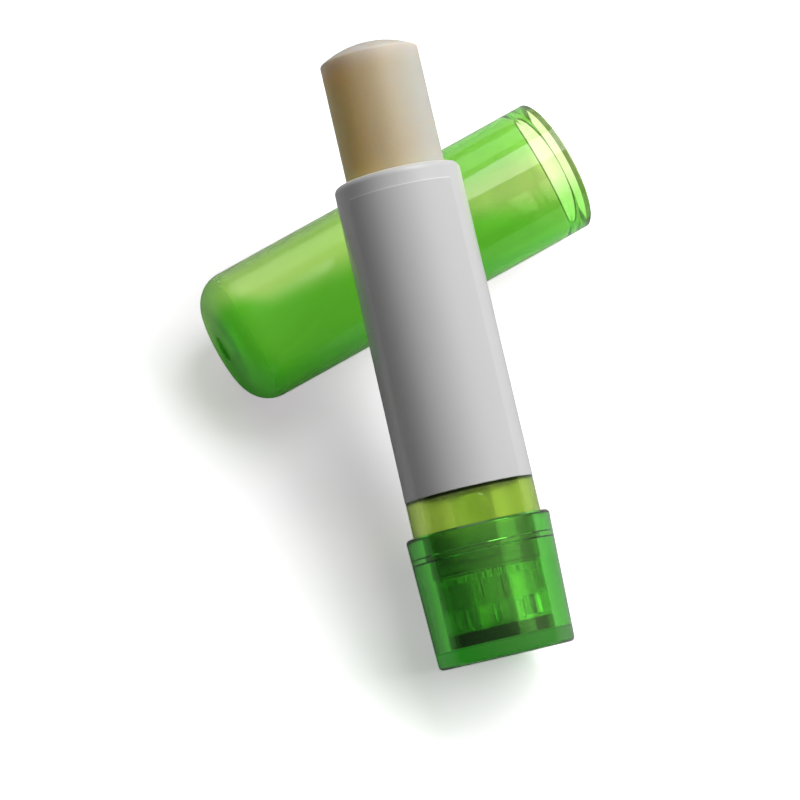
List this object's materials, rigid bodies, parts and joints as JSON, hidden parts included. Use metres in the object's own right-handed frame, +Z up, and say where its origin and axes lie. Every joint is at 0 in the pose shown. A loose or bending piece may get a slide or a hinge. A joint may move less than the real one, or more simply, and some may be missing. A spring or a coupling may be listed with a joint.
{
  "type": "lip balm stick",
  "caption": "Twist-up lip balm stick, opened and extended, leaning on its clear green cap, with a white sleeve and a see-through green base.",
  "frame": {"origin": "on the floor, under the middle of the box round the leaning stick and its cap", "axes": "+X along the lying cap from its closed end to its mouth, +Y the way the stick points seen from above, within 18 degrees, +Z up"},
  "size_m": [0.0528, 0.079, 0.04],
  "materials": {
    "base_green": "clear green moulded plastic, polished",
    "disc_green": "dark green moulded plastic",
    "drive_green": "clear green moulded plastic",
    "tube_lime": "clear yellow-green moulded plastic, polished",
    "sleeve_white": "white moulded plastic, satin gloss",
    "label_white": "blank white film label",
    "carrier_white": "natural moulded plastic",
    "balm_wax": "soft cream wax",
    "cap_green": "clear bright green moulded plastic, polished"
  },
  "bodies": {
    "barrel": {"tube": "tube_lime", "white_sleeve": "sleeve_white", "label": "label_white"},
    "turn_base": {"base_shell": "base_green", "base_disc": "disc_green", "spacer_ring": "drive_green", "screw_spindle": "drive_green"},
    "balm_carrier": {"carrier_cup": "carrier_white", "balm": "balm_wax"},
    "loose_cap": {"cap": "cap_green"}
  },
  "joints": [
    {"name": "base_turn", "type": "hinge", "parent": "barrel", "child": "turn_base", "pos_m": [-0.01705, -0.03582, 0.00838], "axis": [0.2931, 0.9021, 0.3168], "range_deg": [-1080, 720]},
    {"name": "balm_rise", "type": "slide", "parent": "barrel", "child": "balm_carrier", "axis": [0.2931, 0.9021, 0.3168], "range_m": [-0.0181, 0.0121]},
    {"name": "cap_pull", "type": "slide", "parent": "barrel", "child": "loose_cap", "axis": [1, 0, 0], "range_m": [0, 0.06]}
  ],
  "couplings": [
    {"joint": "balm_rise", "follows": "base_turn", "m_per_rad": 0.00095493}
  ]
}
